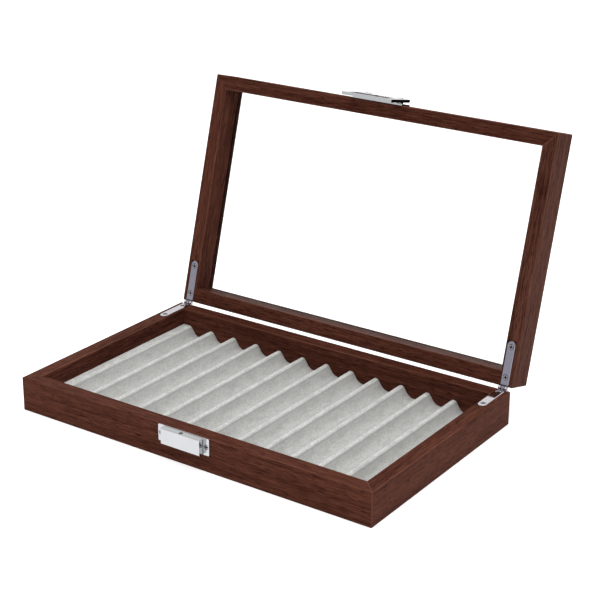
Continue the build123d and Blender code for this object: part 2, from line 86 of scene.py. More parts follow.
class Nodes:
    """A node tree being built, with short calls for the nodes that recur."""

    def __init__(self, tree: bpy.types.NodeTree) -> None:
        """Keep the tree and empty it.

        Args:
            tree: The material's, world's or group's node tree.
        """
        self.tree = tree
        tree.nodes.clear()

    def add(self, kind: str, **settings: object) -> bpy.types.Node:
        """Add a node.

        Args:
            kind: Blender's name of the node type.
            settings: Attributes to set on the node.

        Returns:
            The new node.
        """
        node = self.tree.nodes.new(kind)
        for name, value in settings.items():
            setattr(node, name, value)
        return node

    def join(self, source: object, target: bpy.types.NodeSocket) -> None:
        """Link a socket to an input, or set the input to a plain value.

        Args:
            source: An output socket, a number, or a tuple.
            target: The input socket.
        """
        if isinstance(source, bpy.types.NodeSocket):
            self.tree.links.new(source, target)
        else:
            target.default_value = source

    def maths(self, operation: str, *values: object, clamp: bool = False) -> bpy.types.NodeSocket:
        """Add a Math node.

        Args:
            operation: The Math node's operation.
            values: Its inputs, sockets or numbers.
            clamp: Whether to keep the result between 0 and 1.

        Returns:
            The result socket.
        """
        node = self.add("ShaderNodeMath", operation=operation, use_clamp=clamp)
        for value, socket in zip(values, node.inputs):
            self.join(value, socket)
        return node.outputs[0]

    def mix(self, factor: object, first: object, second: object) -> bpy.types.NodeSocket:
        """Mix two colours.

        Args:
            factor: Share of the second colour.
            first: The colour at factor 0.
            second: The colour at factor 1.

        Returns:
            The mixed colour's socket.
        """
        node = self.add("ShaderNodeMix", data_type="RGBA")
        # The colours are sockets 6 and 7, and output 2: their names are not unique.
        self.join(factor, node.inputs["Factor"])
        self.join(first, node.inputs[6])
        self.join(second, node.inputs[7])
        return node.outputs[2]

    def span(
        self, value: object, low: float, high: float, out_low: float = 0.0, out_high: float = 1.0
    ) -> bpy.types.NodeSocket:
        """Map a range of values smoothly onto another.

        Args:
            value: The value to map.
            low: Where the input range starts.
            high: Where it ends.
            out_low: What the start maps to.
            out_high: What the end maps to.

        Returns:
            The mapped value's socket.
        """
        node = self.add("ShaderNodeMapRange", interpolation_type="SMOOTHSTEP")
        for data, socket in zip((value, low, high, out_low, out_high), node.inputs):
            self.join(data, socket)
        return node.outputs[0]

    def noise(
        self,
        vector: bpy.types.NodeSocket,
        scale: float,
        detail: float = 3.0,
        rough: float = 0.5,
        warp: float = 0.0,
    ) -> bpy.types.NodeSocket:
        """Add a noise texture.

        Args:
            vector: Where it is read.
            scale: Its frequency per metre.
            detail: Number of octaves.
            rough: Weight of the finer octaves.
            warp: Its distortion.

        Returns:
            The noise value's socket.
        """
        node = self.add("ShaderNodeTexNoise")
        self.join(vector, node.inputs["Vector"])
        settings = {"Scale": scale, "Detail": detail, "Roughness": rough, "Distortion": warp}
        for name, value in settings.items():
            node.inputs[name].default_value = value
        return node.outputs[0]

    def layer(self, vector: bpy.types.NodeSocket, layer: Layer) -> bpy.types.NodeSocket:
        """Add noise with its own frequency along each axis.

        Args:
            vector: Where it is read.
            layer: The layer of noise.

        Returns:
            The noise value's socket.
        """
        stretched = self.placed(vector, scale=layer.scale)
        return self.noise(stretched, 1.0, layer.detail, layer.rough, layer.warp)

    def placed(
        self,
        vector: bpy.types.NodeSocket,
        scale: Triple = (1, 1, 1),
        turn: Triple = (0, 0, 0),
        shift: Triple = (0, 0, 0),
    ) -> bpy.types.NodeSocket:
        """Scale, turn and shift a vector with a Mapping node.

        Args:
            vector: The vector.
            scale: Factor along each axis, applied first.
            turn: Euler angles in radians, applied second.
            shift: Added last.

        Returns:
            The mapped vector's socket.
        """
        node = self.add("ShaderNodeMapping")
        self.join(vector, node.inputs["Vector"])
        node.inputs["Scale"].default_value = scale
        node.inputs["Rotation"].default_value = turn
        node.inputs["Location"].default_value = shift
        return node.outputs[0]

    def ramp(
        self, value: object, stops: tuple[tuple[float, float], ...], tint: Triple
    ) -> bpy.types.NodeSocket:
        """Map a value to shades of one tint.

        Args:
            value: The value, from 0 to 1.
            stops: Where each shade stands and how light it is.
            tint: The tint that the shades are multiplied by.

        Returns:
            The colour's socket.
        """
        node = self.add("ShaderNodeValToRGB")
        band = node.color_ramp
        while len(band.elements) < len(stops):
            band.elements.new(0.5)
        for element, (at, shade) in zip(band.elements, stops):
            element.position = at
            element.color = tuple(shade * part for part in tint) + (1.0,)
        self.join(value, node.inputs[0])
        return node.outputs[0]

    def vector(self, operation: str, *values: object, output: int = 0) -> bpy.types.NodeSocket:
        """Add a Vector Math node.

        Args:
            operation: The node's operation.
            values: Its inputs, sockets or vectors.
            output: Which output to return; 1 is the plain value.

        Returns:
            The output socket.
        """
        node = self.add("ShaderNodeVectorMath", operation=operation)
        for value, socket in zip(values, node.inputs):
            self.join(value, socket)
        return node.outputs[output]

    def folded(self, vector: bpy.types.NodeSocket) -> bpy.types.NodeSocket:
        """Fold a place over the middle of the chest, so that left and right are alike.

        Args:
            vector: The place.

        Returns:
            The folded place's socket.
        """
        mirrored = self.vector("MULTIPLY", vector, (-1.0, 1.0, 1.0))
        return self.vector("MAXIMUM", vector, mirrored)

    def use(self, group: bpy.types.NodeTree, **values: object) -> bpy.types.Node:
        """Place a shader node group.

        Args:
            group: The group.
            values: Sockets or values for its inputs, with _ for a space.

        Returns:
            The group node.
        """
        node = self.add("ShaderNodeGroup", node_tree=group)
        for name, value in values.items():
            self.join(value, node.inputs[name.replace("_", " ")])
        return node


def new_group(
    name: str, inputs: dict[str, object], outputs: dict[str, str]
) -> tuple[bpy.types.NodeTree, Nodes, bpy.types.Node, bpy.types.Node]:
    """Start a shader node group.

    Args:
        name: The group's name.
        inputs: Input names with their default values; a string names a socket type.
        outputs: Output names with their socket types.

    Returns:
        The tree, its helper, and its input and output nodes.
    """
    tree = bpy.data.node_groups.new(name, "ShaderNodeTree")
    kinds = {float: "NodeSocketFloat", tuple: "NodeSocketColor"}
    for label, value in inputs.items():
        kind = value if isinstance(value, str) else kinds[type(value)]
        socket = tree.interface.new_socket(label, in_out="INPUT", socket_type=kind)
        if not isinstance(value, str):
            socket.default_value = value
    for label, kind in outputs.items():
        tree.interface.new_socket(label, in_out="OUTPUT", socket_type=kind)
    nodes = Nodes(tree)
    return tree, nodes, nodes.add("NodeGroupInput"), nodes.add("NodeGroupOutput")


def new_material(
    name: str,
) -> tuple[bpy.types.Material, Nodes, bpy.types.Node, bpy.types.NodeSocket]:
    """Start a material with a Principled BSDF.

    Args:
        name: The material's name.

    Returns:
        The material, its node helper, its shader and its Object coordinates.
    """
    material = bpy.data.materials.new(name)
    material.use_nodes = True
    nodes = Nodes(material.node_tree)
    output = nodes.add("ShaderNodeOutputMaterial")
    shader = nodes.add("ShaderNodeBsdfPrincipled")
    nodes.join(shader.outputs[0], output.inputs["Surface"])
    place = nodes.add("ShaderNodeTexCoord").outputs["Object"]
    return material, nodes, shader, place


# ------------------------------------------------------------------ shared effects


# The walnut's layers of noise, finest last; the grain runs along X.
WANDER = Layer((5, 22, 22), detail=2.0, warp=0.3)
BANDS = Layer((8, 260, 260), detail=4.0, rough=0.6, warp=0.9)
STREAKS = Layer((60, 1000, 1000), detail=4.0, rough=0.7)
PORES = Layer((120, 1700, 1700), detail=1.0)
LAYER_SHARES = (0.25, 0.32, 0.6)
MEAN_TONE = 0.585
TONE_GAIN = 3.6
PORE_START, PORE_END = 0.56, 0.68
PORE_SHARE = 0.7
GRAIN_ROUGHNESS = (0.0, 1.0, 0.50, 0.40)
STREAK_RISE, PORE_FALL = 0.5, 0.8
# A mitre's line, in metres from its middle, and the range of noise that gives handling marks.
MITRE_START, MITRE_END = 0.00008, 0.0003
MARKS_START, MARKS_END = 0.3, 0.7


class Effects:
    """The shader node groups that more than one material places."""

    def __init__(self) -> None:
        """Build every group once."""
        self.grain = self._grain()
        self.edges = self._edges()
        self.dust = self._dust()
        self.gap = self._gap()
        self.ring = self._ring()

    def _grain(self) -> bpy.types.NodeTree:
        """Build the wood grain: bands, streaks and open pores that run along local X.

        Returns:
            The group.
        """
        tree, n, start, end = new_group(
            "walnut_grain",
            {
                "Vector": "NodeSocketVector",
                "Dark": (0.03, 0.01, 0.01, 1.0),
                "Light": (0.1, 0.04, 0.03, 1.0),
                "Pore": (0.01, 0.005, 0.004, 1.0),
            },
            {
                "Color": "NodeSocketColor",
                "Roughness": "NodeSocketFloat",
                "Height": "NodeSocketFloat",
            },
        )
        here = start.outputs["Vector"]
        wander, bands, streaks, pores = (
            n.layer(here, layer) for layer in (WANDER, BANDS, STREAKS, PORES)
        )
        parts = [
            n.maths("MULTIPLY", value, share)
            for value, share in zip((wander, bands, streaks), LAYER_SHARES)
        ]
        tone = n.maths("ADD", n.maths("ADD", parts[0], parts[1]), parts[2])
        spread = n.maths("MULTIPLY", n.maths("SUBTRACT", tone, MEAN_TONE), TONE_GAIN)
        share = n.maths("ADD", spread, 0.5, clamp=True)
        body = n.mix(share, start.outputs["Dark"], start.outputs["Light"])
        pits = n.span(pores, PORE_START, PORE_END)
        pitted = n.mix(n.maths("MULTIPLY", pits, PORE_SHARE), body, start.outputs["Pore"])
        n.join(pitted, end.inputs["Color"])
        n.join(n.span(share, *GRAIN_ROUGHNESS), end.inputs["Roughness"])
        raised = n.maths("MULTIPLY", streaks, STREAK_RISE)
        sunk = n.maths("MULTIPLY", pits, PORE_FALL)
        n.join(n.maths("SUBTRACT", raised, sunk), end.inputs["Height"])
        return tree

    def _edges(self) -> bpy.types.NodeTree:
        """Build masks for a mitred frame: its arrises and its mitre lines.

        Inputs are the frame's outer half sizes, wall and heights, in its own square frame.

        Returns:
            The group.
        """
        tree, n, start, end = new_group(
            "frame_edges",
            {
                "Vector": "NodeSocketVector",
                "Half Length": 0.17,
                "Half Depth": 0.1042,
                "Wall": 0.0124,
                "Foot": 0.0,
                "Top": 0.0292,
                "Reach": 0.0007,
            },
            {"Arris": "NodeSocketFloat", "Mitre": "NodeSocketFloat"},
        )
        split = n.add("ShaderNodeSeparateXYZ")
        n.join(start.outputs["Vector"], split.inputs[0])
        run = n.maths("ABSOLUTE", split.outputs[0])
        side = n.maths("ABSOLUTE", split.outputs[1])
        end_in = n.maths("SUBTRACT", start.outputs["Half Length"], run)
        side_in = n.maths("SUBTRACT", start.outputs["Half Depth"], side)
        outer = n.maths("MINIMUM", end_in, side_in)
        inner = n.maths("ABSOLUTE", n.maths("SUBTRACT", outer, start.outputs["Wall"]))
        foot = n.maths("ABSOLUTE", n.maths("SUBTRACT", split.outputs[2], start.outputs["Foot"]))
        top = n.maths("ABSOLUTE", n.maths("SUBTRACT", split.outputs[2], start.outputs["Top"]))
        upright = n.maths("MAXIMUM", end_in, side_in)
        rims = n.maths("MAXIMUM", n.maths("MINIMUM", outer, inner), n.maths("MINIMUM", foot, top))
        away = n.maths("MINIMUM", upright, rims)
        fade = n.maths("DIVIDE", away, start.outputs["Reach"])
        n.join(n.maths("SUBTRACT", 1.0, fade, clamp=True), end.inputs["Arris"])
        gap = n.maths("SUBTRACT", start.outputs["Half Length"], start.outputs["Half Depth"])
        off = n.maths("ABSOLUTE", n.maths("SUBTRACT", n.maths("SUBTRACT", run, side), gap))
        n.join(n.span(off, MITRE_START, MITRE_END, 1.0, 0.0), end.inputs["Mitre"])
        return tree

    def _dust(self) -> bpy.types.NodeTree:
        """Build faint handling marks that vary a surface's gloss.

        Returns:
            The group.
        """
        tree, n, start, end = new_group(
            "handling_marks",
            {"Vector": "NodeSocketVector", "Low": 0.2, "High": 0.3, "Scale": 60.0},
            {"Roughness": "NodeSocketFloat"},
        )
        blotch = n.add("ShaderNodeTexNoise")
        n.join(start.outputs["Vector"], blotch.inputs["Vector"])
        n.join(start.outputs["Scale"], blotch.inputs["Scale"])
        blotch.inputs["Detail"].default_value = 4.0
        node = n.add("ShaderNodeMapRange")
        reach = (start.outputs["Low"], start.outputs["High"])
        data = (blotch.outputs[0], MARKS_START, MARKS_END, *reach)
        for value, socket in zip(data, node.inputs):
            n.join(value, socket)
        n.join(node.outputs[0], end.inputs["Roughness"])
        return tree

    def _gap(self) -> bpy.types.NodeTree:
        """Build a mask of a box, for the shadow that gathers in a slot or along a joint.

        Returns:
            The group.
        """
        tree, n, start, end = new_group(
            "shadow_gap",
            {
                "Vector": "NodeSocketVector",
                "Centre": "NodeSocketVector",
                "Half": "NodeSocketVector",
                "Soft": 0.0002,
            },
            {"Mask": "NodeSocketFloat"},
        )
        offset = n.vector("SUBTRACT", start.outputs["Vector"], start.outputs["Centre"])
        away = n.vector("ABSOLUTE", offset)
        split = n.add("ShaderNodeSeparateXYZ")
        n.join(n.vector("SUBTRACT", away, start.outputs["Half"]), split.inputs[0])
        across = n.maths("MAXIMUM", split.outputs[0], split.outputs[1])
        outside = n.maths("MAXIMUM", across, split.outputs[2])
        fade = n.maths("DIVIDE", outside, start.outputs["Soft"])
        n.join(n.maths("SUBTRACT", 1.0, fade, clamp=True), end.inputs["Mask"])
        return tree

    def _ring(self) -> bpy.types.NodeTree:
        """Build a mask of a ring, for the painted shade round a screw's head.

        Returns:
            The group.
        """
        tree, n, start, end = new_group(
            "shadow_ring",
            {
                "Vector": "NodeSocketVector",
                "Centre": "NodeSocketVector",
                "Across": "NodeSocketVector",
                "Radius": 0.0021,
                "Soft": 0.0003,
            },
            {"Mask": "NodeSocketFloat"},
        )
        away = n.vector("SUBTRACT", start.outputs["Vector"], start.outputs["Centre"])
        flat = n.vector("MULTIPLY", away, start.outputs["Across"])
        reach = n.vector("LENGTH", flat, output=1)
        off = n.maths("ABSOLUTE", n.maths("SUBTRACT", reach, start.outputs["Radius"]))
        fade = n.maths("DIVIDE", off, start.outputs["Soft"])
        n.join(n.maths("SUBTRACT", 1.0, fade, clamp=True), end.inputs["Mask"])
        return tree


# ------------------------------------------------------------------ finishes


class Run(Enum):
    """Which way a rail's grain runs."""

    LENGTH = "length"
    DEPTH = "depth"


@dataclass(frozen=True)
class Gap:
    """A box of shadow in a slot or along a joint, on both halves of the shut chest."""

    centre: Triple
    half: Triple
    soft: float = 0.0002


@dataclass(frozen=True)
class Head:
    """Painted shade on a screw's head, a ring round it and its cross, on both halves of the shut
    chest.

    In across, 1 marks the two axes that the head lies along, X and one other.
    """

    centre: Triple
    across: Triple
    radius: float = 0.00205
    slot: float = 0.00038
    reach: float = 0.00145
    depth: float = 0.002
    soft: float = 0.0003

    def slots(self) -> tuple[Gap, Gap]:
        """Lay out the cross.

        Returns:
            Its two slots.
        """
        rest = self.across[1:]
        first = (self.slot, *(self.reach if part else self.depth for part in rest))
        second = (self.reach, *(self.slot if part else self.depth for part in rest))
        return Gap(self.centre, first, self.soft), Gap(self.centre, second, self.soft)


def shadows(
    n: Nodes,
    effects: Effects,
    place: bpy.types.NodeSocket,
    gaps: tuple[Gap, ...],
    heads: tuple[Head, ...] = (),
) -> bpy.types.NodeSocket:
    """Join the masks of painted shade in gaps and on screw heads.

    Args:
        n: The material's nodes.
        effects: The shared groups.
        place: Coordinates with the chest shut.
        gaps: The gaps.
        heads: The screw heads.

    Returns:
        The mask: 1 in the deepest shadow.
    """
    here = n.folded(place)
    masks = [
        n.use(
            effects.ring, Vector=here, Centre=head.centre, Across=head.across, Radius=head.radius
        )
        for head in heads
    ]
    for gap in gaps + tuple(slot for head in heads for slot in head.slots()):
        masks.append(
            n.use(effects.gap, Vector=here, Centre=gap.centre, Half=gap.half, Soft=gap.soft)
        )
    mask = masks[0].outputs["Mask"]
    for node in masks[1:]:
        mask = n.maths("MAXIMUM", mask, node.outputs["Mask"])
    return mask


@dataclass(frozen=True)
class Frame:
    """Sizes of a mitred frame, shut, and how far it is turned back about the hinges."""

    name: str
    half_length: float = 0.170
    half_depth: float = 0.1042
    wall: float = 0.0124
    foot: float = 0.0
    top: float = 0.0292
    open_angle: float = 0.0
    pin_y: float = 0.1055
    pin_z: float = 0.02995
    gaps: tuple[Gap, ...] = ()

    def shut(self, nodes: Nodes, place: bpy.types.NodeSocket) -> bpy.types.NodeSocket:
        """Turn Object coordinates to where the frame is shut.

        Args:
            nodes: The material's nodes.
            place: Its Object coordinates.

        Returns:
            The coordinates with the frame shut.
        """
        angle = math.radians(self.open_angle)
        pin = Vector((0, self.pin_y, self.pin_z))
        shift = pin - Matrix.Rotation(angle, 3, "X") @ pin
        return nodes.placed(place, turn=(angle, 0, 0), shift=tuple(shift))


@dataclass(frozen=True)
class Walnut:
    """Dark lacquered walnut, with grain along one rail of a mitred frame."""

    frame: Frame
    run: Run
    offset: float
    dark: Colour = (0.031, 0.0084, 0.0050, 1.0)
    light: Colour = (0.132, 0.045, 0.029, 1.0)
    pore_and_shade: Colour = (0.013, 0.0040, 0.0028, 1.0)
    edge_wear_and_highlight: Colour = (0.215, 0.095, 0.062, 1.0)
    relief: float = 0.00006
    patch_scale: float = 14.0
    patches: Span = (0.40, 0.62, 0.08, 0.75)
    shift_across: float = 0.37
    shadow_depth: float = 0.8

    def material(self, effects: Effects) -> bpy.types.Material:
        """Build the material.

        Args:
            effects: The shared groups.

        Returns:
            The material.
        """
        name = f"walnut_{self.frame.name}_{self.run.value}_{self.offset:.0f}"
        material, n, shader, place = new_material(name)
        shut = self.frame.shut(n, place)
        turn = (0, 0, math.pi / 2) if self.run is Run.DEPTH else (0, 0, 0)
        shift = (self.offset, self.offset * self.shift_across, 0)
        along = n.placed(shut, turn=turn, shift=shift)
        grain = n.use(
            effects.grain, Vector=along, Dark=self.dark, Light=self.light, Pore=self.pore_and_shade
        )
        edges = n.use(
            effects.edges,
            Vector=shut,
            Half_Length=self.frame.half_length,
            Half_Depth=self.frame.half_depth,
            Wall=self.frame.wall,
            Foot=self.frame.foot,
            Top=self.frame.top,
        )
        patchy = n.span(n.noise(shut, self.patch_scale), *self.patches)
        colour = grain.outputs["Color"]
        # Mitre lines are lightened as joint lines; arrises are lightened as a painted highlight
        # that is partly wear, in patches.
        for mask in ("Mitre", "Arris"):
            colour = n.mix(n.maths("MULTIPLY", edges.outputs[mask], patchy), colour, self.edge_wear_and_highlight)
        # Painted shade in the frame's gaps, in the dark pore colour.
        shadow = shadows(n, effects, shut, self.frame.gaps)
        colour = n.mix(n.maths("MULTIPLY", shadow, self.shadow_depth), colour, self.pore_and_shade)
        n.join(colour, shader.inputs["Base Color"])
        n.join(grain.outputs["Roughness"], shader.inputs["Roughness"])
        shader.inputs["Specular IOR Level"].default_value = 0.01
        bump = n.add("ShaderNodeBump")
        bump.inputs["Strength"].default_value = 0.6
        bump.inputs["Distance"].default_value = self.relief
        n.join(grain.outputs["Height"], bump.inputs["Height"])
        n.join(bump.outputs[0], shader.inputs["Normal"])
        return material


@dataclass(frozen=True)
class Plating:
    """Nickel plating on steel, with shadow in its slots and joints."""

    name: str
    colour: Colour
    low: float
    high: float
    frame: Frame = Frame("base")
    gaps: tuple[Gap, ...] = ()
    heads: tuple[Head, ...] = ()
    deep: Colour = (0.006, 0.005, 0.005, 1.0)
    mottle: float = 0.94
    mottle_scale: float = 60.0
    marks_scale: float = 180.0

    def material(self, effects: Effects) -> bpy.types.Material:
        """Build the material.

        Args:
            effects: The shared groups.

        Returns:
            The material.
        """
        material, n, shader, place = new_material(self.name)
        shade = n.noise(place, self.mottle_scale, detail=2.0)
        darker = (*(part * self.mottle for part in self.colour[:3]), 1.0)
        colour = n.mix(shade, darker, self.colour)
        if self.gaps or self.heads:
            # Painted shade in slots, joints and screw heads: near black and not metallic.
            shut = self.frame.shut(n, place)
            shadow = shadows(n, effects, shut, self.gaps, self.heads)
            colour = n.mix(shadow, colour, self.deep)
            n.join(n.maths("SUBTRACT", 1.0, shadow), shader.inputs["Metallic"])
        else:
            shader.inputs["Metallic"].default_value = 1.0
        n.join(colour, shader.inputs["Base Color"])
        shader.inputs["Specular IOR Level"].default_value = 0.0
        marks = n.use(
            effects.dust, Vector=place, Low=self.low, High=self.high, Scale=self.marks_scale
        )
        n.join(marks.outputs["Roughness"], shader.inputs["Roughness"])
        return material


@dataclass(frozen=True)
class Velvet:
    """Short-pile velvet, with a painted highlight on the crests and painted shade darkest on the
    flanks just below them.

    Each shading tone is a height between low and high, as a share, and how light the velvet is
    painted there.
    """

    tint: Triple = (1.0, 1.0, 0.968)
    shade: Colour = (0.30, 0.302, 0.292, 1.0)
    low: float = 0.0054
    high: float = 0.0148
    height_shading: tuple[tuple[float, float], ...] = (
        (0.0, 0.53), (0.3, 0.52), (0.7, 0.48), (0.84, 0.38), (0.88, 0.56), (0.97, 0.69)
    )
    pile_scale: float = 780.0
    pile_shade: Span = (0.42, 0.62, 0.0, 0.6)
    nap_scale: float = 210.0
    nap_stretch: Triple = (1.0, 0.4, 1.0)
    nap_shade: Span = (0.38, 0.72, 0.0, 0.42)
    relief: float = 0.0002

    def material(self) -> bpy.types.Material:
        """Build the material.

        Returns:
            The material.
        """
        material, n, shader, place = new_material("grey_velvet")
        split = n.add("ShaderNodeSeparateXYZ")
        n.join(place, split.inputs[0])
        above = n.maths("SUBTRACT", split.outputs[2], self.low)
        rise = n.maths("DIVIDE", above, self.high - self.low, clamp=True)
        pile = n.noise(place, self.pile_scale, detail=4.0, rough=0.8)
        brushed = n.placed(place, scale=self.nap_stretch)
        nap = n.noise(brushed, self.nap_scale, detail=4.0, rough=0.6, warp=0.4)
        # Painted light by height: crests lighter as a highlight, flanks below them darker as
        # shade.
        tone = n.ramp(rise, self.height_shading, self.tint)
        tone = n.mix(n.span(nap, *self.nap_shade), tone, self.shade)
        tone = n.mix(n.span(pile, *self.pile_shade), tone, self.shade)
        n.join(tone, shader.inputs["Base Color"])
        shader.inputs["Roughness"].default_value = 0.95
        shader.inputs["Specular IOR Level"].default_value = 0.15
        shader.inputs["Sheen Weight"].default_value = 0.35
        shader.inputs["Sheen Roughness"].default_value = 0.45
        shader.inputs["Sheen Tint"].default_value = (1.0, 1.0, 0.98, 1.0)
        bump = n.add("ShaderNodeBump")
        bump.inputs["Strength"].default_value = 0.5
        bump.inputs["Distance"].default_value = self.relief
        n.join(pile, bump.inputs["Height"])
        n.join(bump.outputs[0], shader.inputs["Normal"])
        return material


@dataclass(frozen=True)
class Glass:
    """A clear polished sheet."""

    tint: Colour = (0.985, 0.995, 0.99, 1.0)
    smear: float = 0.012
    smear_scale: float = 25.0

    def material(self, effects: Effects) -> bpy.types.Material:
        """Build the material.

        Args:
            effects: The shared groups.

        Returns:
            The material.
        """
        material, n, shader, place = new_material("clear_pane")
        marks = n.use(
            effects.dust, Vector=place, Low=0.0, High=self.smear, Scale=self.smear_scale
        )
        n.join(marks.outputs["Roughness"], shader.inputs["Roughness"])
        shader.inputs["Base Color"].default_value = self.tint
        shader.inputs["Transmission Weight"].default_value = 1.0
        shader.inputs["IOR"].default_value = 1.45
        return material


@dataclass(frozen=True)
class Board:
    """Thin fibrous board, for the floor and the tray's former."""

    name: str
    colour: Colour
    fleck: Colour
    fibres: Layer = Layer((120, 900, 900), detail=4.0, rough=0.6)
    flecks: Span = (0.35, 0.7, 0.0, 1.0)
    roughness: Span = (0.2, 0.8, 0.55, 0.75)

    def material(self) -> bpy.types.Material:
        """Build the material.

        Returns:
            The material.
        """
        material, n, shader, place = new_material(self.name)
        fibres = n.layer(place, self.fibres)
        flecked = n.mix(n.span(fibres, *self.flecks), self.colour, self.fleck)
        n.join(flecked, shader.inputs["Base Color"])
        n.join(n.span(fibres, *self.roughness), shader.inputs["Roughness"])
        return material


# ------------------------------------------------------------------ pieces


# The sides of a frame with the way their grain runs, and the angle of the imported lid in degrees.
SIDES = {"front": Run.LENGTH, "back": Run.LENGTH, "left": Run.DEPTH, "right": Run.DEPTH}
OPEN_ANGLE = 105.5
STAINED = Board("stained_board", (0.045, 0.019, 0.013, 1.0), (0.075, 0.033, 0.023, 1.0))
PRESSED = Board("pressed_former", (0.52, 0.50, 0.46, 1.0), (0.60, 0.58, 0.54, 1.0))


def dress(node: bpy.types.Object, material: bpy.types.Material) -> None:
    """Give a carried-over node its finish and report it.

    Args:
        node: The node's object.
        material: Its material.
    """
    slots = node.data.materials
    if slots:
        for index in range(len(slots)):
            slots[index] = material
    else:
        slots.append(material)
    log.info("%s in %s", node.name, material.name)


def deselect() -> None:
    """Leave edit mode and deselect everything."""
    if bpy.context.object and bpy.context.object.mode != "OBJECT":
        bpy.ops.object.mode_set(mode="OBJECT")
    bpy.ops.object.select_all(action="DESELECT")


@dataclass
class Case:
    """The base: four mitred walls on a thin floor."""

    frame: Frame = Frame(
        "base",
        gaps=(
            # Painted shade round the hinge leaves, and behind the catch plate.
            Gap((0.1626, 0.0862, 0.0292), (0.00385, 0.0199, 0.0008)),
            Gap((0.0, -0.1042, 0.0212), (0.0250, 0.0004, 0.0070)),
        ),
    )
    first_offset: float = 3.0

    def build(self, nodes: dict[str, bpy.types.Object], effects: Effects) -> None:
        """Dress the walls and the floor.

        Args:
            nodes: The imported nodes.
            effects: The shared groups.
        """
        for number, (side, run) in enumerate(SIDES.items()):
            walnut = Walnut(self.frame, run, self.first_offset + number)
            dress(nodes[f"base_{side}_wall"], walnut.material(effects))
        dress(nodes["base_floor_panel"], STAINED.material())


@dataclass
class Tray:
    """The grooved former and the velvet that covers it."""

    length: float = 0.3144
    depth: float = 0.1828
    grooves: int = 12
    pitch: float = 0.0251
    groove_depth: float = 0.0094
    groove_radius: float = 0.0084
    crest_radius: float = 0.0036
    crest_height: float = 0.0148
    thickness: float = 0.0008
    arc_steps: int = 7
    cuts: int = 40
    swell_size: float = 0.03
    swell_height: float = 0.0004
    swell_level: float = 0.9

    @property
    def slope(self) -> float:
        """Find the angle of the flanks.

        Returns:
            The angle at which the rounded zigzag is as deep as the grooves.
        """
        rounds = self.groove_radius + self.crest_radius
        half = self.pitch / 2
        rest = rounds - self.groove_depth
        return math.asin(rounds / math.hypot(half, rest)) - math.atan2(rest, half)

    def section(self) -> list[tuple[float, float]]:
        """List the points of the tray's top in X and Z, from left to right.

        Returns:
            The points, with arc_steps spans to each arc.
        """
        points = [(-self.length / 2, self.crest_height)]
        first = -self.grooves * self.pitch / 2
        for number in range(2 * self.grooves + 1):
            crest = number % 2 == 0
            radius = self.crest_radius if crest else -self.groove_radius
            centre_x = first + number * self.pitch / 2
            top = self.crest_height if crest else self.crest_height - self.groove_depth
            centre_z = top - radius
            start = 0.0 if number == 0 else -self.slope
            stop = 0.0 if number == 2 * self.grooves else self.slope
            if not crest:
                start, stop = -start, -stop
            for step in range(self.arc_steps + 1):
                angle = start + (stop - start) * step / self.arc_steps
                across, up = radius * math.sin(angle), radius * math.cos(angle)
                points.append((centre_x + across, centre_z + up))
        points.append((self.length / 2, self.crest_height))
        return points

    def cover(self) -> bpy.types.Object:
        """Model the velvet: one edge extruded along the section, cut across, and thickened.

        Returns:
            The velvet.
        """
        points = self.section()
        deselect()
        first = points[1][0] - points[0][0]
        middle = (points[0][0] + first / 2, 0, self.crest_height)
        bpy.ops.mesh.primitive_plane_add(size=1.0, location=middle)
        cover = bpy.context.object
        cover.name = "velvet_lining"
        cover.scale = (first, self.depth, 1.0)
        bpy.ops.object.transform_apply(location=True, rotation=True, scale=True)
        # Only the right edge is selected, to be extruded from.
        for edge in cover.data.edges:
            edge.select = all(cover.data.vertices[i].co.x > middle[0] for i in edge.vertices)
        for face in cover.data.polygons:
            face.select = False
        for vertex in cover.data.vertices:
            vertex.select = vertex.co.x > middle[0]
        bpy.ops.object.mode_set(mode="EDIT")
        bpy.ops.mesh.select_mode(type="EDGE")
        for (x0, z0), (x1, z1) in zip(points[1:], points[2:]):
            step = {"value": (x1 - x0, 0, z1 - z0)}
            bpy.ops.mesh.extrude_region_move(TRANSFORM_OT_translate=step)
        bpy.ops.mesh.select_all(action="DESELECT")
        bpy.ops.object.mode_set(mode="OBJECT")
        for edge in cover.data.edges:
            ends = [cover.data.vertices[i].co for i in edge.vertices]
            edge.select = abs(ends[0].y - ends[1].y) > self.depth / 2
        bpy.ops.object.mode_set(mode="EDIT")
        bpy.ops.mesh.subdivide(number_cuts=self.cuts)
        bpy.ops.mesh.select_all(action="SELECT")
        bpy.ops.mesh.normals_make_consistent(inside=False)
        bpy.ops.object.mode_set(mode="OBJECT")
        if cover.data.polygons[0].normal.z < 0:
            cover.data.flip_normals()
        self._soften(cover)
        return cover

    def _soften(self, cover: bpy.types.Object) -> None:
        """Give the velvet its soft unevenness and its thickness.

        Args:
            cover: The velvet, one face thick.
        """
        cloud = bpy.data.textures.new("soft_pile", "CLOUDS")
        cloud.noise_scale = self.swell_size
        cloud.noise_depth = 2
        swell = cover.modifiers.new("swell", "DISPLACE")
        swell.texture = cloud
        swell.texture_coords = "LOCAL"
        swell.strength = self.swell_height
        swell.mid_level = self.swell_level
        wall = cover.modifiers.new("thickness", "SOLIDIFY")
        wall.thickness = self.thickness
        wall.offset = -1.0
        for name in ("swell", "thickness"):
            bpy.ops.object.modifier_apply(modifier=name)
        bpy.ops.object.shade_smooth_by_angle(angle=math.radians(50))

    def build(self, nodes: dict[str, bpy.types.Object]) -> None:
        """Model the velvet, dress it and dress the former.

        Args:
            nodes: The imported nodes.
        """
        dress(nodes["tray_core"], PRESSED.material())
        cover = self.cover()
        dress(cover, Velvet().material())
        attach(cover, "base")
        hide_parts("tray_velvet")


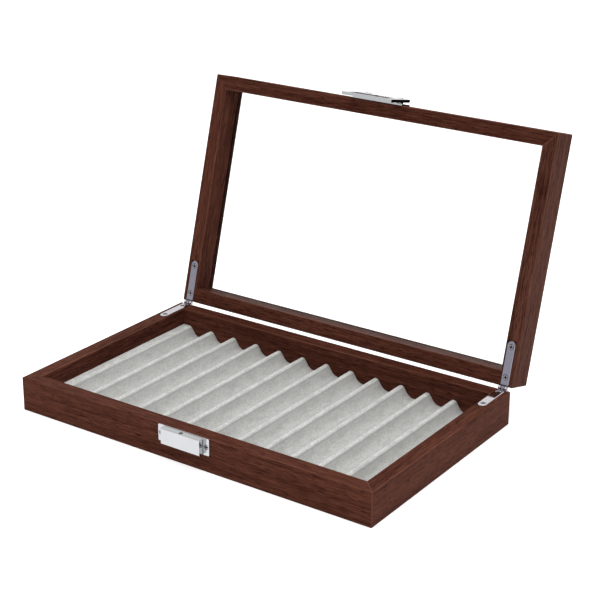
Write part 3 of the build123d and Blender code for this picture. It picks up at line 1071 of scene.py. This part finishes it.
@dataclass
class Lid:
    """The lid: four mitred rails round a clear pane."""

    frame: Frame = Frame(
        "lid",
        wall=0.0125,
        foot=0.0307,
        top=0.0574,
        open_angle=OPEN_ANGLE,
        gaps=(
            # Painted shade round the hinge leaves, behind the hasp plate, and in the pane's groove
            # and on the inner faces beyond it.
            Gap((0.1626, 0.0862, 0.0307), (0.00385, 0.0199, 0.0008)),
            Gap((0.0, -0.1042, 0.0379), (0.0250, 0.0007, 0.0073)),
            Gap((0.0, 0.0, 0.0544), (0.1578, 0.0920, 0.0032), 0.0004),
        ),
    )
    first_offset: float = 11.0
    # A lighter grain colour for the right rail alone: painted light.
    right_painted_light: Colour = (0.158, 0.062, 0.043, 1.0)

    def build(self, nodes: dict[str, bpy.types.Object], effects: Effects) -> None:
        """Dress the rails and the pane.

        Args:
            nodes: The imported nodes.
            effects: The shared groups.
        """
        for number, (side, run) in enumerate(SIDES.items()):
            walnut = Walnut(self.frame, run, self.first_offset + number)
            # The right rail gets the lighter grain colour as painted light.
            if side == "right":
                walnut = replace(walnut, light=self.right_painted_light)
            dress(nodes[f"lid_{side}_rail"], walnut.material(effects))
        dress(nodes["lid_pane"], Glass().material(effects))


# Shadows of the fittings, in metres with the chest shut: between the knuckles and at the leaf's
# end, at the hasp's ends, between its knuckles and in its notch, and behind the catch's block.
# Screw heads, with painted shade in a ring round each and in its cross.
HINGE_HEADS = tuple(Head((0.1626, y, 0.02995), (1, 1, 0)) for y in (0.0967, 0.0715))
HASP_HEADS = (Head((0.0218, -0.1055, 0.0379), (1, 0, 1)),)
CATCH_HEADS = (Head((0.0218, -0.1051, 0.0217), (1, 0, 1)),)
HINGE_GAPS = (
    Gap((0.1610, 0.1055, 0.02995), (0.0002, 0.0026, 0.0026)),
    Gap((0.1642, 0.1055, 0.02995), (0.0002, 0.0026, 0.0026)),
    Gap((0.1626, 0.1031, 0.02995), (0.0036, 0.0002, 0.0012)),
)
HASP_GAPS = (
    Gap((0.0249, -0.1087, 0.03), (0.0003, 0.01, 0.02), 0.0001),
    Gap((0.0134, -0.1087, 0.04215), (0.00025, 0.003, 0.003)),
    Gap((0.0186, -0.1087, 0.04215), (0.00025, 0.003, 0.003)),
    Gap((0.0, -0.1079, 0.0287), (0.0015, 0.003, 0.0015)),
)
CATCH_GAPS = (Gap((0.0, -0.1052, 0.0207), (0.0190, 0.00025, 0.0060)),)

BRIGHT = (0.60, 0.565, 0.595, 1.0)
# The lid leaves' nickel is a darker copy of the base leaves' nickel: painted shade.
NICKEL_PAINTED_SHADE = (0.25, 0.24, 0.29, 1.0)
WHITE = (0.50, 0.505, 0.52, 1.0)
HEAD = (0.42, 0.41, 0.41, 1.0)
STEEL = (0.14, 0.14, 0.145, 1.0)
BASE = Frame("base")
LID = Frame("lid", open_angle=OPEN_ANGLE)
# Each plating with the nodes that have it.
PLATINGS = (
    (
        Plating("hinge_nickel_base", BRIGHT, 0.05, 0.10, BASE, HINGE_GAPS),
        ("hinge_base_leaf_left", "hinge_base_leaf_right", "hinge_pin_left", "hinge_pin_right"),
    ),
    (
        Plating("hinge_nickel_lid", NICKEL_PAINTED_SHADE, 0.10, 0.16, LID, HINGE_GAPS),
        ("hinge_lid_leaf_left", "hinge_lid_leaf_right"),
    ),
    (
        Plating("catch_nickel", WHITE, 0.12, 0.18, BASE, CATCH_GAPS),
        ("catch_plate", "catch_body"),
    ),
    (
        Plating("hasp_nickel", WHITE, 0.12, 0.18, LID, HASP_GAPS),
        ("hasp_plate", "hasp_flap", "hasp_pin"),
    ),
    (
        Plating("screw_nickel_hinge_base", HEAD, 0.12, 0.2, BASE, (), HINGE_HEADS),
        ("hinge_base_screws",),
    ),
    (
        Plating("screw_nickel_hinge_lid", HEAD, 0.12, 0.2, LID, (), HINGE_HEADS),
        ("hinge_lid_screws",),
    ),
    (
        Plating("screw_nickel_catch", HEAD, 0.12, 0.2, BASE, (), CATCH_HEADS),
        ("catch_screws",),
    ),
    (
        Plating("screw_nickel_hasp", HEAD, 0.12, 0.2, LID, (), HASP_HEADS),
        ("hasp_screws",),
    ),
    (
        Plating("plunger_steel", STEEL, 0.12, 0.2),
        ("catch_sleeve", "catch_ball", "catch_spring"),
    ),
)


@dataclass
class Fittings:
    """Hinges, catch and hasp, all nickel plated, and the plunger's spring."""

    wire: float = 0.0002
    wire_sides: int = 8
    turns: int = 3
    turn_steps: int = 24
    press: float = 0.00065

    def coil(self) -> bpy.types.Object:
        """Model the plunger's spring.

        Returns:
            The spring.
        """
        low, high = (Vector(corner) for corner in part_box("catch_spring"))
        middle = (low + high) / 2
        radius = (high.x - low.x) / 2 - self.wire
        foot, rise = low.z + self.wire, high.z - low.z - 2 * self.wire
        deselect()
        bpy.ops.mesh.primitive_circle_add(
            vertices=self.wire_sides,
            radius=self.wire,
            location=(radius, 0, foot),
            rotation=(math.pi / 2, 0, 0),
        )
        spring = bpy.context.object
        spring.name = "plunger_spring"
        bpy.ops.object.transform_apply(location=True, rotation=True, scale=True)
        winding = spring.modifiers.new("winding", "SCREW")
        winding.steps = winding.render_steps = self.turn_steps
        winding.iterations = self.turns
        winding.screw_offset = rise / self.turns
        bpy.ops.object.modifier_apply(modifier="winding")
        bpy.ops.object.mode_set(mode="EDIT")
        bpy.ops.mesh.select_all(action="SELECT")
        bpy.ops.mesh.fill_holes(sides=self.wire_sides)
        bpy.ops.mesh.select_all(action="SELECT")
        bpy.ops.mesh.normals_make_consistent(inside=False)
        bpy.ops.transform.translate(value=(middle.x, middle.y, 0))
        bpy.ops.object.mode_set(mode="OBJECT")
        bpy.ops.object.shade_smooth_by_angle(angle=math.radians(60))
        return spring

    def build(self, nodes: dict[str, bpy.types.Object], effects: Effects) -> None:
        """Dress every fitting and fit the spring.

        Args:
            nodes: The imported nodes.
            effects: The shared groups.
        """
        for plating, names in PLATINGS:
            material = plating.material(effects)
            for name in names:
                dress(nodes[name], material)
        spring = self.coil()
        dress(spring, nodes["catch_spring"].data.materials[0])
        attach(spring, "base")
        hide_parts("catch_spring")
        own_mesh(spring)


# ------------------------------------------------------------------ studio


@dataclass(frozen=True)
class Lamp:
    """A soft square lamp: where it is, its side and its power in watts."""

    name: str
    place: Triple
    size: float
    power: float
    target: Triple = (0.0, 0.0, 0.05)

    def hang(self) -> None:
        """Put the lamp in the scene, pointed at its target."""
        data = bpy.data.lights.new(self.name, "AREA")
        data.size = self.size
        data.energy = self.power
        lamp = bpy.data.objects.new(self.name, data)
        lamp.location = self.place
        lamp.visible_glossy = False
        aim = Vector(self.target) - Vector(self.place)
        lamp.rotation_euler = aim.to_track_quat("-Z", "Y").to_euler()
        bpy.context.scene.collection.objects.link(lamp)


@dataclass
class Studio:
    """The floor, the light and the camera."""

    place: Triple = (0.68491, -0.94068, 0.55861)
    turn: Triple = (68.6186, -0.3529, 34.7888)
    lens: float = 94.125
    sensor: float = 36.0
    lamps: tuple[Lamp, ...] = (
        Lamp("window", (-0.5, -1.9, 2.4), 2.2, 24.5),
        Lamp("overhead", (0.4, 0.4, 2.0), 1.6, 24.0, (0.0, 0.05, 0.05)),
        Lamp("fill", (1.6, -0.9, 0.7), 1.4, 1.5),
    )
    ambient: float = 0.58
    white: float = 1.0
    floor_size: float = 8.0
    floor_drop: float = 0.00005
    floor_tone: Colour = (0.86, 0.86, 0.86, 1.0)
    floor_glow: float = 0.53

    def build(self) -> None:
        """Make the camera, the lights, the world and the floor."""
        scene = bpy.context.scene
        scene.view_settings.view_transform = "Standard"
        data = bpy.data.cameras.new("camera")
        data.lens = self.lens
        data.sensor_width = self.sensor
        data.clip_end = 50.0
        camera = bpy.data.objects.new("camera", data)
        camera.location = self.place
        camera.rotation_euler = Euler([math.radians(angle) for angle in self.turn])
        scene.collection.objects.link(camera)
        scene.camera = camera
        for lamp in self.lamps:
            lamp.hang()
        self._world()
        self._floor()

    def _seen(self, nodes: Nodes) -> bpy.types.NodeSocket:
        """Add a mask of the rays that show the background.

        Args:
            nodes: The world's or the floor's nodes.

        Returns:
            The mask: 1 for camera, glossy and transmission rays.
        """
        path = nodes.add("ShaderNodeLightPath").outputs
        bent = nodes.maths("MAXIMUM", path["Is Glossy Ray"], path["Is Transmission Ray"])
        return nodes.maths("MAXIMUM", path["Is Camera Ray"], bent)

    def _world(self) -> None:
        """Set an even pale world."""
        world = bpy.data.worlds.new("pale_room")
        world.use_nodes = True
        bpy.context.scene.world = world
        nodes = Nodes(world.node_tree)
        shown = self._seen(nodes)
        back = nodes.add("ShaderNodeBackground")
        back.inputs["Color"].default_value = (1, 1, 1, 1)
        extra = nodes.maths("MULTIPLY", shown, self.white - self.ambient)
        strength = nodes.maths("ADD", self.ambient, extra)
        nodes.join(strength, back.inputs["Strength"])
        output = nodes.add("ShaderNodeOutputWorld")
        nodes.join(back.outputs[0], output.inputs["Surface"])

    def _floor(self) -> None:
        """Lay a pale floor that keeps the chest's shadow."""
        deselect()
        below = (0, 0, -self.floor_drop)
        bpy.ops.mesh.primitive_plane_add(size=self.floor_size, location=below)
        floor = bpy.context.object
        floor.name = "floor"
        material = bpy.data.materials.new("pale_floor")
        material.use_nodes = True
        n = Nodes(material.node_tree)
        shown = self._seen(n)
        matt = n.add("ShaderNodeBsdfDiffuse")
        matt.inputs["Color"].default_value = self.floor_tone
        glow = n.add("ShaderNodeEmission")
        n.join(n.maths("MULTIPLY", shown, self.floor_glow), glow.inputs["Strength"])
        both = n.add("ShaderNodeAddShader")
        n.join(matt.outputs[0], both.inputs[0])
        n.join(glow.outputs[0], both.inputs[1])
        n.join(both.outputs[0], n.add("ShaderNodeOutputMaterial").inputs["Surface"])
        floor.data.materials.append(material)


def main() -> None:
    """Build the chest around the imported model."""
    logging.basicConfig(level=logging.INFO, format="%(name)s: %(message)s")
    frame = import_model()
    deselect()
    effects = Effects()
    nodes = frame["nodes"]
    Case().build(nodes, effects)
    Tray().build(nodes)
    Lid().build(nodes, effects)
    Fittings().build(nodes, effects)
    Studio().build()


if __name__ == "__main__":
    main()
